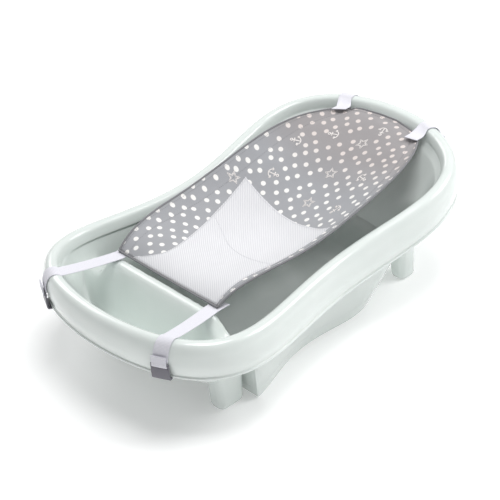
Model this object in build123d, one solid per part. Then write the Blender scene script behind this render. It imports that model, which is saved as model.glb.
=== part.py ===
from build123d import *

import os
from math import cos, exp, hypot, pi, radians, sin

# Baby bath tub with a clip-on sling. Millimetres. +X is the head end, -X the foot end, +Z up.
# The origin is on the ground, below the middle of the outline. Angle u runs along the rim:
# 0 at the foot tip, pi/2 at the waist and pi at the head tip, on the +Y side.

# Tub outline: the rim's inner lip.
LIP_HALF_LENGTH = 322.0
LIP_HALF_WIDTH = 216.0      # first harmonic of the half width
LIP_FOOT_BULGE = 5.0        # second harmonic: the foot half is a little wider
LIP_WAIST = 49.0            # third harmonic: full ends and a narrow waist
RIM_HEIGHT = 180.0
RIM_TILT = 30.0             # the head lip is this much above the mean, the foot lip below it
RIM_SADDLE = 19.0           # both ends rise this much and the waist dips

# Tub walls and floor.
WALL = 2.6
FLOOR_TOP = 10.0            # inside face of the main floor
FLOOR_HALF_LENGTH = 215.0
FLOOR_CENTRE_X = -45.0
FLOOR_WIDTH_SHARE = 0.83
FLOOR_WIDTH_TAPER = 0.10
FLOOR_EDGE_RADIUS = 16.0
BASE_RING = 14.0            # width of the ring that the basin stands on

# Rolled rim, measured outwards and upwards from the lip.
RIM_WALL = 3.0
RIM_WIDTH = 26.0
RIM_RISE = 9.5
RIM_OUTER_RADIUS = 12.0
SKIRT_DEPTH = 52.0

# Raised foot well and the hump in front of it.
WELL_FLOOR = 58.0
STEP_X = -190.0             # the deep basin ends here
HUMP_CREST_FRONT_X = -201.0
HUMP_CREST_BACK_X = -225.0
HUMP_FOOT_SPREAD = 20.0     # how far the head-side face leans out down to the floor
HUMP_BACK_SPREAD = 9.0
HUMP_TOP = 146.0
HUMP_SHOULDER_TOP = 115.0
HUMP_CREST_HALF_WIDTH = 118.0
HUMP_SHOULDER_Y = 148.0
HUMP_RADIUS = 9.0

# Legs, as places of their centres on the +Y side.
FRONT_LEG = (-219.0, 144.0)
FRONT_LEG_SIZE = (42.0, 30.0)
REAR_LEG = (222.0, 119.0)
REAR_LEG_SIZE = (30.0, 28.0)
REAR_LEG_HEIGHT = 185.0     # it runs up into the backrest's wall
LEG_TAPER = 1.5
LEG_CORNER = 11.0
LEG_TOE_RADIUS = 7.0
LEG_WALL = 4.5

# Drain and plug.
DRAIN_X = -142.0
DRAIN_RADIUS = 13.0
PLUG_CLEARANCE = 0.4
PLUG_FLANGE_RADIUS = 19.0
PLUG_FLANGE_THICK = 3.0
PLUG_DEPTH = 5.5
PLUG_TAB = (16.0, 5.0, 10.0)

# Sling.
SLING_FOOT_X = -194.0
SLING_HEAD_X = 301.0
SLING_EDGE_HEIGHT = 157.0   # of the foot corners
SLING_WING_RISE = 27.0      # the side edges stand this much higher a little way in from the foot
SLING_WING_REACH = 32.0     # length over which they rise
SLING_HEAD_RISE = 38.0
SLING_RISE_START_X = -60.0
SLING_RISE_END_X = 250.0
SLING_HALF_WIDTH = 143.0
SLING_WIDEST_X = 50.0
SLING_FOOT_NARROWING = 25.0
SLING_HEAD_NARROWING = 57.0
SLING_END_SAG = 3.0
SLING_SEAT_SAG = 58.0
SLING_THICK = 2.0
PANEL_SPLIT_X = 60.0        # the seat panel meets the back panel
WING_SHARE = 0.86           # the wings start at this share of the half width
PANEL_GAP = 0.6
PIPING_RADIUS = 2.5
PIPING_GAP = 0.5
SLING_STEP = 45.0           # the longest stretch between two sections of the sling

# Straps and hooks.
STRAP_WIDTH = 25.0
STRAP_THICK = 1.5
STRAP_GAP = 1.8             # strap to rim
STRAP_TAIL = 14.0           # length under the sling's corner
FOOT_STRAP_INSET = 6.0      # its middle from the sling's side edge
HEAD_STRAP_INSET = 2.0
HEAD_STRAP_TURN = 4.0       # it starts to rise this far inside the head edge
STRAP_TO_HOOK = 1.5
STRAP_LANDING = 2.0         # where it meets the rim's crest, outwards from the lip
FOLD_TOP_Z = -13.0          # upper end of the folded outer layer
FOLD_GAP = 0.5
HOOK_WIDTH = 31.0
HOOK_THICK = 2.6
HOOK_GAP = 3.0              # hook to skirt
HOOK_TOP_ABOVE_EDGE = 21.0
HOOK_UPTURN = 8.0
HOOK_SLOT_HEIGHT = 4.2
HOOK_SLOT_MARGIN = 0.7
HOOK_EDGE_GAP = 1.5
HOOK_BAR = 3.0              # bar above the slot
FOLD_TIP_GAP = 1.0
FOOT_STRAP_ANGLE = radians(22)
HEAD_STRAP_ANGLE = radians(165)
SIDES = {"left": 1, "right": -1}


def lip_height(x):
    """Height of the rim's reference surface above x: a shallow parabola, higher at the head."""
    share = x / (LIP_HALF_LENGTH + RIM_WIDTH / 2)
    return RIM_HEIGHT + RIM_TILT * share + RIM_SADDLE * (2 * share ** 2 - 1)


def lip_point(u):
    x = -LIP_HALF_LENGTH * cos(u)
    y = LIP_HALF_WIDTH * sin(u) + LIP_FOOT_BULGE * sin(2 * u) + LIP_WAIST * sin(3 * u)
    return Vector(x, y, lip_height(x))


def outward(u):
    """Unit normal of the lip's plan outline."""
    slope_x = LIP_HALF_LENGTH * sin(u)
    slope_y = LIP_HALF_WIDTH * cos(u) + 2 * LIP_FOOT_BULGE * cos(2 * u) + 3 * LIP_WAIST * cos(3 * u)
    length = hypot(slope_x, slope_y)
    return Vector(-slope_y / length, slope_x / length, 0)


def floor_point(u):
    x = FLOOR_CENTRE_X - FLOOR_HALF_LENGTH * cos(u)
    y = lip_point(u).Y * (FLOOR_WIDTH_SHARE + FLOOR_WIDTH_TAPER * cos(u))
    return Vector(x, y, FLOOR_TOP)


def wall_point(u, z, offset):
    """Place at height z on the straight wall line from lip to floor, moved out by offset."""
    lip, foot = lip_point(u), floor_point(u)
    share = (lip.Z - z) / (lip.Z - FLOOR_TOP)
    place = lip + (foot - lip) * share + outward(u) * offset
    return Vector(place.X, place.Y, z)


def basin_form(low, high, offset):
    """Solid between two levels whose side is the basin wall moved out by offset."""
    rings = []
    for z in (low, high):
        points = [wall_point(2 * pi * k / 28, z, offset) for k in range(28)]
        rings.append(Wire([Spline(points, periodic=True)]))
    return Solid.make_loft(rings, True)


def lip_slab(low, high):
    """Everything between two levels from the lip, over the whole tub."""
    reach = LIP_HALF_LENGTH + RIM_WIDTH / 2
    outlines = []
    for level in (low, high):
        left, right = lip_height(-2 * reach) + level, lip_height(2 * reach) + level
        middle = lip_height(0) + level + 4 * RIM_SADDLE * (-2)
        outlines.append(Bezier((-2 * reach, left), (0, middle), (2 * reach, right)))
    ends = [Line(outlines[0] @ k, outlines[1] @ k) for k in (0, 1)]
    return extrude(Plane.XZ * make_face([*outlines, *ends]), 300, both=True)


def outline_points(offset):
    angles = [2 * pi * k / 28 for k in range(28)]
    return [lip_point(u) + outward(u) * offset for u in angles]


def rim_form(offset, low, high, radius):
    """Block inside the lip's outline moved out by offset, between two levels from the lip."""
    flat = Spline([Vector(p.X, p.Y, 0) for p in outline_points(offset)], periodic=True)
    block = extrude(make_face(flat), 400) & lip_slab(low, high)
    top = block.faces().filter_by(lambda f: f.normal_at(f.center()).Z > 0.5)[0]
    return fillet(top.edges(), radius)


def hump_form(inset):
    """The hump's block, with its faces moved in by inset. It runs past both side walls."""
    front, back, top = HUMP_CREST_FRONT_X - inset, HUMP_CREST_BACK_X + inset, HUMP_TOP - inset
    low = -5.0 if inset else FLOOR_TOP - 2
    side = Polyline((front + HUMP_FOOT_SPREAD, low), (front, top), (back, top),
                    (back - HUMP_BACK_SPREAD, low), close=True)
    shoulder = HUMP_SHOULDER_TOP - inset
    reach, slope_y, crest_y = 260.0, HUMP_SHOULDER_Y - inset, HUMP_CREST_HALF_WIDTH - inset
    front_view = Polyline((-reach, low), (-reach, shoulder), (-slope_y, shoulder), (-crest_y, top + 1),
                          (crest_y, top + 1), (slope_y, shoulder), (reach, shoulder), (reach, low),
                          close=True)
    block = extrude(Plane.XZ * make_face(side), reach, both=True)
    crest_edges = block.edges().filter_by(Axis.Y).group_by(Axis.Z)[-1]
    block = fillet(crest_edges, HUMP_RADIUS - inset)
    return block & extrude(Plane.YZ * make_face(front_view), 2 * reach, both=True)


def leg(place, size, height, side):
    """A tapered leg with a rounded toe, open towards the middle of the tub."""
    x, y = place
    body = extrude(Pos(x, side * y) * RectangleRounded(size[0], size[1], LEG_CORNER), height, taper=-LEG_TAPER)
    body = fillet(body.edges().group_by(Axis.Z)[0], LEG_TOE_RADIUS)
    hollow = Box(size[0] - 2 * LEG_WALL, size[1], height, align=(Align.CENTER, Align.CENTER, Align.MIN))
    return body - Pos(x, side * (y - LEG_WALL), 2 * LEG_WALL) * hollow


def rear_leg(side):
    """The leg below the backrest, which stops inside the basin's wall."""
    whole = leg(REAR_LEG, REAR_LEG_SIZE, REAR_LEG_HEIGHT, side)
    return whole - basin_form(-1, 260, WALL / 2)


def front_leg(side):
    """The leg below the foot well, which stops inside the well's floor."""
    return leg(FRONT_LEG, FRONT_LEG_SIZE, WELL_FLOOR - WALL / 2, side)


def rim_curve(gap):
    """The rim's section moved out by gap, as (outward, up) from the lip: crest, bend, top of skirt."""
    radius, centre = RIM_OUTER_RADIUS + gap, (RIM_WIDTH - RIM_OUTER_RADIUS, RIM_RISE - RIM_OUTER_RADIUS)
    bend = [(centre[0] + radius * sin(pi * k / 8), centre[1] + radius * cos(pi * k / 8)) for k in range(5)]
    return [(STRAP_LANDING, RIM_RISE + gap)] + bend


def section_place(u, n, z, side=1):
    """Place of a rim section point, n outward and z up from the lip, on one side of the tub."""
    place = lip_point(u) + outward(u) * n
    return Vector(place.X, side * place.Y, lip_height(place.X) + z)


def drain_hole():
    return Pos(DRAIN_X, 0) * Cylinder(DRAIN_RADIUS, 4 * FLOOR_TOP)


def tub_shell():
    """The one moulding: basin, hump, foot well, legs and rolled rim."""
    basin = basin_form(0, 300, WALL)
    basin = fillet(basin.faces().sort_by(Axis.Z)[0].edges(), FLOOR_EDGE_RADIUS - 4)
    basin = basin & lip_slab(-400, RIM_RISE / 2)
    basin -= Pos(STEP_X - 200, 0, 0) * Box(400, 600, 2 * (WELL_FLOOR - WALL))
    body = rim_form(RIM_WIDTH, -SKIRT_DEPTH, RIM_RISE, RIM_OUTER_RADIUS) + basin
    hollow = rim_form(RIM_WIDTH - RIM_WALL, -2 * SKIRT_DEPTH, RIM_RISE - RIM_WALL, RIM_OUTER_RADIUS - RIM_WALL)
    body -= hollow - basin_form(-10, 320, WALL + 0.2)
    cavity = basin_form(FLOOR_TOP, 310, 0)
    cavity = fillet(cavity.faces().sort_by(Axis.Z)[0].edges(), FLOOR_EDGE_RADIUS)
    cavity -= hump_form(0)
    well_front = (HUMP_CREST_FRONT_X + HUMP_CREST_BACK_X) / 2
    cavity -= Pos(well_front - 200, 0, 0) * Box(400, 600, 2 * WELL_FLOOR)
    body -= cavity
    body -= hump_form(WALL) & basin_form(-6, 270, -WALL)
    ring_inside = basin_form(-6, FLOOR_TOP - WALL, -BASE_RING)
    body -= ring_inside & (Pos(STEP_X + 8 + 400, 0, 0) * Box(800, 600, 2 * (FLOOR_TOP - WALL)))
    for side in SIDES.values():
        body += front_leg(side)
        body += rear_leg(side)
    return body - drain_hole()


def drain_plug():
    shaft = Cylinder(DRAIN_RADIUS - PLUG_CLEARANCE, PLUG_DEPTH,
                     align=(Align.CENTER, Align.CENTER, Align.MAX))
    flange = Cylinder(PLUG_FLANGE_RADIUS, PLUG_FLANGE_THICK,
                      align=(Align.CENTER, Align.CENTER, Align.MIN))
    flange = fillet(flange.edges().group_by(Axis.Z)[-1], 1.2)
    tab = Pos(0, 0, PLUG_FLANGE_THICK - 0.5) * Box(*PLUG_TAB, align=(Align.CENTER, Align.CENTER, Align.MIN))
    tab = fillet(tab.edges().filter_by(Axis.Y), 3.0)
    return Pos(DRAIN_X, 0, FLOOR_TOP) * (flange + shaft + tab)


def sling_edge(x):
    """Height of the sling's side edges: they stand up from the foot corners and rise to the head."""
    wing = SLING_WING_RISE * (1 - exp(-max(x - SLING_FOOT_X, 0) / SLING_WING_REACH))
    share = (x - SLING_RISE_START_X) / (SLING_RISE_END_X - SLING_RISE_START_X)
    share = min(max(share, 0), 1)
    return SLING_EDGE_HEIGHT + wing + SLING_HEAD_RISE * share ** 2 * (3 - 2 * share)


def sling_half_width(x):
    if x < SLING_WIDEST_X:
        share = (SLING_WIDEST_X - x) / (SLING_WIDEST_X - SLING_FOOT_X)
        return SLING_HALF_WIDTH - SLING_FOOT_NARROWING * share ** 2
    share = (x - SLING_WIDEST_X) / (SLING_HEAD_X - SLING_WIDEST_X)
    return SLING_HALF_WIDTH - SLING_HEAD_NARROWING * share ** 3.5


def sling_height(x, y):
    """Height of the sling's middle surface: edges held up, a seat hanging between them."""
    along = (x - SLING_FOOT_X) / (SLING_HEAD_X - SLING_FOOT_X)
    sag = SLING_END_SAG + SLING_SEAT_SAG * max(sin(pi * along), 0) ** 1.2
    return sling_edge(x) - sag * (1 - (y / sling_half_width(x)) ** 2)


def stations_between(start, end):
    count = max(2, int(abs(end - start) / SLING_STEP + 1.999))
    return [start + (end - start) * k / (count - 1) for k in range(count)]


def strip_section(x, share_from, share_to):
    """Closed band of the sling in the plane at x, between two shares of the half width."""
    half = sling_half_width(x)
    ys = [half * share_from, half * (share_from + share_to) / 2, half * share_to]
    top = [Vector(x, y, sling_height(x, y) + SLING_THICK / 2) for y in ys]
    low = [Vector(x, y, sling_height(x, y) - SLING_THICK / 2) for y in ys]
    return Wire([ThreePointArc(*top), Line(top[2], low[2]), ThreePointArc(*low[::-1]),
                 Line(low[0], top[0])])


def sling_strip(start_x, end_x, share_from, share_to):
    stations = stations_between(start_x, end_x)
    return Solid.make_loft([strip_section(x, share_from, share_to) for x in stations])


def centre_panel(start_x, end_x):
    share = WING_SHARE - PANEL_GAP / SLING_HALF_WIDTH
    return sling_strip(start_x, end_x, -share, share)


def sling_wing(side):
    return sling_strip(SLING_FOOT_X, SLING_HEAD_X, side * WING_SHARE, side)


def square_section(centre, across, half):
    """Square outline about centre, in the plane of across and the upward direction."""
    up = Vector(0, 0, half)
    return Wire(Polyline(*[centre + across * a + up * b for a, b in
                           ((-half, -1), (half, -1), (half, 1), (-half, 1))], close=True).edges())


def side_piping(side):
    sections = []
    for x in stations_between(SLING_FOOT_X, SLING_HEAD_X):
        y = side * (sling_half_width(x) + PIPING_RADIUS + PIPING_GAP)
        sections.append(square_section(Vector(x, y, sling_edge(x)), Vector(0, 1, 0), PIPING_RADIUS))
    return Solid.make_loft(sections)


def end_piping(x, direction):
    """Piping across the sling's foot or head edge, which faces along direction."""
    shift = direction * (PIPING_RADIUS + PIPING_GAP)
    half = sling_half_width(x)
    sections = []
    for k in range(-2, 3):
        y = half * k / 2
        centre = Vector(x + shift, y, sling_height(x, y))
        sections.append(square_section(centre, Vector(1, 0, 0), PIPING_RADIUS))
    return Solid.make_loft(sections)


def section_prism(u, side, outline, width):
    """Solid of a rim section outline, as thick as width along the rim."""
    points = [section_place(u, n, z, side) for n, z in outline]
    face = Face(Wire(Polyline(*points, close=True).edges()))
    normal = outward(u)
    along = Vector(-normal.Y, side * normal.X, 0)
    return extrude(face, width / 2, dir=along, both=True)


def webbing(start, end):
    """A straight, flat run of webbing."""
    run = end - start
    across = Vector(-run.Y, run.X, 0).normalized()
    frame = Plane(origin=(start + end) / 2, x_dir=run.normalized(), z_dir=run.cross(across).normalized())
    return frame * Box(run.length, STRAP_WIDTH, STRAP_THICK)


def strap(u, side, end_x, direction):
    """Webbing from a sling corner, over the rim and down its outside to the hook.

    It is sewn under the sling's foot corners and on top of its head corners.
    """
    low = -SKIRT_DEPTH + HOOK_TOP_ABOVE_EDGE + STRAP_TO_HOOK
    layers = [rim_curve(gap) + [(RIM_WIDTH + gap, low)] for gap in (STRAP_GAP, STRAP_GAP + STRAP_THICK)]
    over = section_prism(u, side, layers[0] + layers[1][::-1], STRAP_WIDTH)
    lift = PIPING_RADIUS + STRAP_THICK / 2 + PIPING_GAP
    inset, turn_x = HEAD_STRAP_INSET, end_x - HEAD_STRAP_TURN
    if direction < 0:
        lift = -lift - SLING_END_SAG / 2
        inset, turn_x = FOOT_STRAP_INSET, end_x - 2 * PIPING_RADIUS - PIPING_GAP
    y = side * (sling_half_width(end_x) - inset)
    inner_x = turn_x - direction * STRAP_TAIL
    tail = Vector(inner_x, y, sling_edge(end_x) + lift)
    turn = Vector(turn_x, y, sling_edge(end_x) + lift)
    first = layers[0][0]
    landing = section_place(u, first[0] + 1, first[1] + STRAP_THICK / 2, side)
    return over + webbing(tail, turn) + webbing(turn, landing)


def strap_end(u, side):
    """The webbing's end, through the hook's slot and folded up over the strap."""
    gap = max(STRAP_GAP + STRAP_THICK, HOOK_GAP + HOOK_THICK) + FOLD_GAP
    slot = -SKIRT_DEPTH + HOOK_TOP_ABOVE_EDGE - HOOK_BAR - HOOK_SLOT_HEIGHT / 2
    low, high = slot - STRAP_THICK / 2, slot + STRAP_THICK / 2
    near, far = RIM_WIDTH + gap, RIM_WIDTH + gap + STRAP_THICK
    tip = RIM_WIDTH + FOLD_TIP_GAP
    outline = [(tip, low), (far, low), (far, FOLD_TOP_Z), (near, FOLD_TOP_Z), (near, high), (tip, high)]
    return section_prism(u, side, outline, STRAP_WIDTH)


def hook(u, side):
    """Flat plastic hook: a slotted plate that turns up behind the rim's lower edge."""
    top, edge = -SKIRT_DEPTH + HOOK_TOP_ABOVE_EDGE, -SKIRT_DEPTH - HOOK_EDGE_GAP
    low, tip = edge - HOOK_THICK, -SKIRT_DEPTH + HOOK_UPTURN
    near = RIM_WIDTH + HOOK_GAP
    inside = RIM_WIDTH - RIM_WALL - HOOK_GAP
    outline = [(near, top), (near + HOOK_THICK, top), (near + HOOK_THICK, low), (inside - HOOK_THICK, low),
               (inside - HOOK_THICK, tip), (inside, tip), (inside, edge), (near, edge)]
    body = section_prism(u, side, outline, HOOK_WIDTH)
    slot_top, slot_low = top - HOOK_BAR, top - HOOK_BAR - HOOK_SLOT_HEIGHT
    slot = [(near - 1, slot_low), (near + HOOK_THICK + 1, slot_low),
            (near + HOOK_THICK + 1, slot_top), (near - 1, slot_top)]
    return body - section_prism(u, side, slot, STRAP_WIDTH + 2 * HOOK_SLOT_MARGIN)


def straps_and_hooks():
    """The four strap sets, one at each corner of the sling."""
    ends = {"foot": (FOOT_STRAP_ANGLE, SLING_FOOT_X, -1), "head": (HEAD_STRAP_ANGLE, SLING_HEAD_X, 1)}
    pieces = {}
    for end, (u, end_x, direction) in ends.items():
        for name, side in SIDES.items():
            pieces[f"{end}_strap_{name}"] = strap(u, side, end_x, direction)
            pieces[f"{end}_strap_fold_{name}"] = strap_end(u, side)
            pieces[f"{end}_hook_{name}"] = hook(u, side)
    return pieces


def build():
    pieces = {"tub_shell": tub_shell(), "drain_plug": drain_plug()}
    pieces["sling_seat_panel"] = centre_panel(SLING_FOOT_X, PANEL_SPLIT_X - PANEL_GAP / 2)
    pieces["sling_back_panel"] = centre_panel(PANEL_SPLIT_X + PANEL_GAP / 2, SLING_HEAD_X)
    for name, side in SIDES.items():
        pieces[f"sling_wing_{name}"] = sling_wing(side)
        pieces[f"side_piping_{name}"] = side_piping(side)
    pieces["foot_piping"] = end_piping(SLING_FOOT_X, -1)
    pieces["head_piping"] = end_piping(SLING_HEAD_X, 1)
    pieces.update(straps_and_hooks())
    return pieces


os.makedirs("parts", exist_ok=True)
for name, shape in build().items():
    export_step(shape, f"parts/{name}.step")
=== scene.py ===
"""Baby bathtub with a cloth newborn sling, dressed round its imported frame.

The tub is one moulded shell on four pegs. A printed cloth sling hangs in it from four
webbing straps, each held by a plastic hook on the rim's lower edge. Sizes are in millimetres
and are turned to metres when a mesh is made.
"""

import logging
import math
from dataclasses import dataclass
from enum import Enum
from functools import cached_property
from typing import Iterable, Sequence

import bmesh
import bpy
from mathutils import Matrix, Vector, noise
from mathutils.bvhtree import BVHTree


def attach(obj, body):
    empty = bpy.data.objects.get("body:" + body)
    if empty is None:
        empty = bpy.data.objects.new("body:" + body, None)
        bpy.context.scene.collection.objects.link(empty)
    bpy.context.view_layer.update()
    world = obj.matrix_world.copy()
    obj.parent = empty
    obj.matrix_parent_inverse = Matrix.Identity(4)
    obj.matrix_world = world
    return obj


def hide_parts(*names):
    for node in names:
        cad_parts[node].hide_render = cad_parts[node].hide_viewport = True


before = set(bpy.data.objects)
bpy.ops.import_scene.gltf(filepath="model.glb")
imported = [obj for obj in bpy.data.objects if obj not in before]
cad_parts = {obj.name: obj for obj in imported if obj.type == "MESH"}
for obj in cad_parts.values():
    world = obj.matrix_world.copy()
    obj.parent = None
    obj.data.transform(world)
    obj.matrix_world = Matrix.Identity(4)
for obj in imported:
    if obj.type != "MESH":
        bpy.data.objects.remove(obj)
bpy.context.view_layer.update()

logging.basicConfig(level=logging.INFO, format="%(message)s")
log = logging.getLogger("bathtub")

MM = 0.001


class Side(Enum):
    """The left side lies towards +Y, the right side towards -Y."""

    LEFT = 1
    RIGHT = -1


class End(Enum):
    """The foot end lies towards -X, the head end towards +X."""

    FOOT = -1
    HEAD = 1


# ---------------------------------------------------------------- small helpers


def linear(hex_colour: str) -> tuple[float, float, float, float]:
    """Turns an sRGB hex colour into linear RGBA.

    Args:
        hex_colour: six hex digits after a hash.

    Returns:
        The linear colour with full alpha.
    """
    parts = [int(hex_colour[k:k + 2], 16) / 255 for k in (1, 3, 5)]
    return (*(p / 12.92 if p <= 0.04045 else ((p + 0.055) / 1.055) ** 2.4 for p in parts), 1.0)


def add_node(tree: bpy.types.NodeTree, kind: str, links: dict | None = None,
             values: dict | None = None, **settings: object) -> bpy.types.Node:
    """Adds a node with its settings, input values and links.

    Args:
        tree: the node tree it goes in.
        kind: the node's type.
        links: input name or index to the socket that feeds it.
        values: input name or index to a fixed value.
        settings: properties of the node.

    Returns:
        The new node.
    """
    node = tree.nodes.new(kind)
    for name, value in settings.items():
        setattr(node, name, value)
    for key, value in (values or {}).items():
        node.inputs[key].default_value = value
    for key, socket in (links or {}).items():
        tree.links.new(socket, node.inputs[key])
    return node


def smooth_top(a: float, b: float, blend: float) -> float:
    """The higher of two heights, rounded where they cross."""
    near = max(blend - abs(a - b), 0.0) / blend
    return max(a, b) + near * near * blend / 4


def smooth_bottom(a: float, b: float, blend: float) -> float:
    """The lower of two heights, rounded where they cross."""
    return -smooth_top(-a, -b, blend)


def smoothstep(low: float, high: float, value: float) -> float:
    """Rises smoothly from 0 at low to 1 at high."""
    share = min(max((value - low) / (high - low), 0.0), 1.0)
    return share * share * (3 - 2 * share)


def through(points: Sequence[Sequence[float]], count: int) -> list[Vector]:
    """A smooth line through points.

    Args:
        points: the points it passes, of two or three numbers.
        count: how many points the line gets.

    Returns:
        Points along the line, ends included.
    """
    p = [Vector(q) for q in points]
    p = [p[0] * 2 - p[1], *p, p[-1] * 2 - p[-2]]
    line = []
    for k in range(count):
        place = k / (count - 1) * (len(p) - 3)
        i = min(int(place), len(p) - 4)
        t = place - i
        a, b, c, d = p[i:i + 4]
        line.append(0.5 * (2 * b + (c - a) * t + (2 * a - 5 * b + 4 * c - d) * t ** 2
                           + (3 * b - a - 3 * c + d) * t ** 3))
    return line


def link(name: str, mesh: bpy.types.Mesh) -> bpy.types.Object:
    """Puts a mesh into the scene as an object."""
    made = bpy.data.objects.new(name, mesh)
    bpy.context.scene.collection.objects.link(made)
    return made


def mesh_from(name: str, points: Sequence[Sequence[float]], faces: Sequence[Sequence[int]],
              edges: Sequence[Sequence[int]] = ()) -> bpy.types.Object:
    """Makes an object from points in millimetres.

    Args:
        name: the object's name.
        points: its vertices.
        faces: its faces, as indices.
        edges: loose edges, as indices.

    Returns:
        The object, smooth shaded.
    """
    mesh = bpy.data.meshes.new(name)
    mesh.from_pydata([Vector(p) * MM for p in points], edges, faces)
    mesh.polygons.foreach_set("use_smooth", [True] * len(mesh.polygons))
    mesh.update()
    return link(name, mesh)


def grid_faces(rows: int, columns: int, closed: bool = False) -> list[tuple[int, int, int, int]]:
    """Quads of a grid whose points run row by row.

    Args:
        rows: number of rows.
        columns: points in a row.
        closed: joins the last column to the first.

    Returns:
        The faces as indices.
    """
    last = columns if closed else columns - 1
    return [(r * columns + c, r * columns + (c + 1) % columns,
             (r + 1) * columns + (c + 1) % columns, (r + 1) * columns + c)
            for r in range(rows - 1) for c in range(last)]


def sheet_uv(piece: bpy.types.Object, places: Sequence[tuple[float, float]]) -> None:
    """Gives a sheet a UV map in metres along the cloth, one place for each vertex."""
    layer = piece.data.uv_layers.new(name="cloth")
    for loop in piece.data.loops:
        x, y = places[loop.vertex_index]
        layer.data[loop.index].uv = (x * MM, y * MM)


def thicken(piece: bpy.types.Object, thickness: float, offset: float = -1.0) -> None:
    """Gives a sheet its thickness with a live modifier."""
    solid = piece.modifiers.new("thickness", "SOLIDIFY")
    solid.thickness = thickness * MM
    solid.offset = offset
    solid.use_even_offset = False


def round_edges(piece: bpy.types.Object, name: str, width: float, segments: int) -> None:
    """Rounds a piece's sharp edges with a live modifier."""
    bevel = piece.modifiers.new(name, "BEVEL")
    bevel.width = width * MM
    bevel.segments = segments
    bevel.limit_method = "ANGLE"


def face_up(piece: bpy.types.Object) -> None:
    """Turns a sheet's faces upwards."""
    if sum(p.normal.z for p in piece.data.polygons) < 0:
        piece.data.flip_normals()


def baked(piece: bpy.types.Object) -> bpy.types.Object:
    """Turns a piece's modifiers into its mesh."""
    bpy.context.view_layer.update()
    graph = bpy.context.evaluated_depsgraph_get()
    mesh = bpy.data.meshes.new_from_object(piece.evaluated_get(graph))
    piece.modifiers.clear()
    old = piece.data
    piece.data = mesh
    bpy.data.meshes.remove(old)
    mesh.name = piece.name
    return piece


def joined(name: str, parts: Iterable[bpy.types.Object]) -> bpy.types.Object:
    """Joins finished parts into one object that sits at the origin."""
    work = bmesh.new()
    parts = list(parts)
    for part in parts:
        work.from_mesh(baked(part).data)
    mesh = bpy.data.meshes.new(name)
    work.to_mesh(mesh)
    work.free()
    for part in parts:
        bpy.data.objects.remove(part)
    mesh.polygons.foreach_set("use_smooth", [True] * len(mesh.polygons))
    return link(name, mesh)


def dress(piece: bpy.types.Object, material: bpy.types.Material) -> bpy.types.Object:
    """Gives a piece its material."""
    piece.data.materials.clear()
    piece.data.materials.append(material)
    return piece


def centre_line(name: str, points: Sequence[Vector], closed: bool = False) -> bpy.types.Object:
    """A line of edges in millimetres, for a geometry node tree to work along."""
    edges = [(k, k + 1) for k in range(len(points) - 1)]
    if closed:
        edges.append((len(points) - 1, 0))
    return mesh_from(name, points, [], edges)


# ---------------------------------------------------------------- geometry node trees


def node_group(name: str, sizes: dict[str, float]) -> bpy.types.NodeTree:
    """Starts a geometry node tree with a geometry input and named sizes in metres."""
    tree = bpy.data.node_groups.new(name, "GeometryNodeTree")
    tree.interface.new_socket("Geometry", in_out="INPUT", socket_type="NodeSocketGeometry")
    for size, value in sizes.items():
        socket = tree.interface.new_socket(size, in_out="INPUT", socket_type="NodeSocketFloat")
        socket.default_value = value
    tree.interface.new_socket("Material", in_out="INPUT", socket_type="NodeSocketMaterial")
    tree.interface.new_socket("Geometry", in_out="OUTPUT", socket_type="NodeSocketGeometry")
    return tree


def run_tree(piece: bpy.types.Object, tree: bpy.types.NodeTree, values: dict) -> bpy.types.Object:
    """Runs a geometry node tree on a piece and keeps the mesh it gives.

    Args:
        piece: the object that the tree starts from.
        tree: the node tree.
        values: the tree's named inputs and what they are set to.

    Returns:
        The same object with the tree's mesh.
    """
    modifier = piece.modifiers.new(tree.name, "NODES")
    modifier.node_group = tree
    for item in tree.interface.items_tree:
        if item.item_type == "SOCKET" and item.in_out == "INPUT" and item.name in values:
            modifier[item.identifier] = values[item.name]
    return baked(piece)


def close_tree(tree: bpy.types.NodeTree, start: bpy.types.Node,
               made: bpy.types.NodeSocket) -> bpy.types.NodeTree:
    """Ends a tree with smooth shading, real geometry, its material and its output."""
    smooth = add_node(tree, "GeometryNodeSetShadeSmooth", {"Geometry": made})
    real = add_node(tree, "GeometryNodeRealizeInstances", {"Geometry": smooth.outputs["Geometry"]})
    dressed = add_node(tree, "GeometryNodeSetMaterial",
                       {"Geometry": real.outputs["Geometry"],
                        "Material": start.outputs["Material"]})
    add_node(tree, "NodeGroupOutput", {"Geometry": dressed.outputs["Geometry"]})
    return tree


def sweep_tree() -> bpy.types.NodeTree:
    """A round cord swept along a line: the covered piping at the sling's edge."""
    tree = node_group("piping_sweep", {"Radius": 0.0025})
    start = add_node(tree, "NodeGroupInput")
    curve = add_node(tree, "GeometryNodeMeshToCurve", {"Mesh": start.outputs["Geometry"]})
    circle = add_node(tree, "GeometryNodeCurvePrimitiveCircle",
                      {"Radius": start.outputs["Radius"]}, {"Resolution": 12})
    swept = add_node(tree, "GeometryNodeCurveToMesh",
                     {"Curve": curve.outputs["Curve"], "Profile Curve": circle.outputs["Curve"]},
                     {"Fill Caps": True})
    return close_tree(tree, start, swept.outputs["Mesh"])


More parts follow.
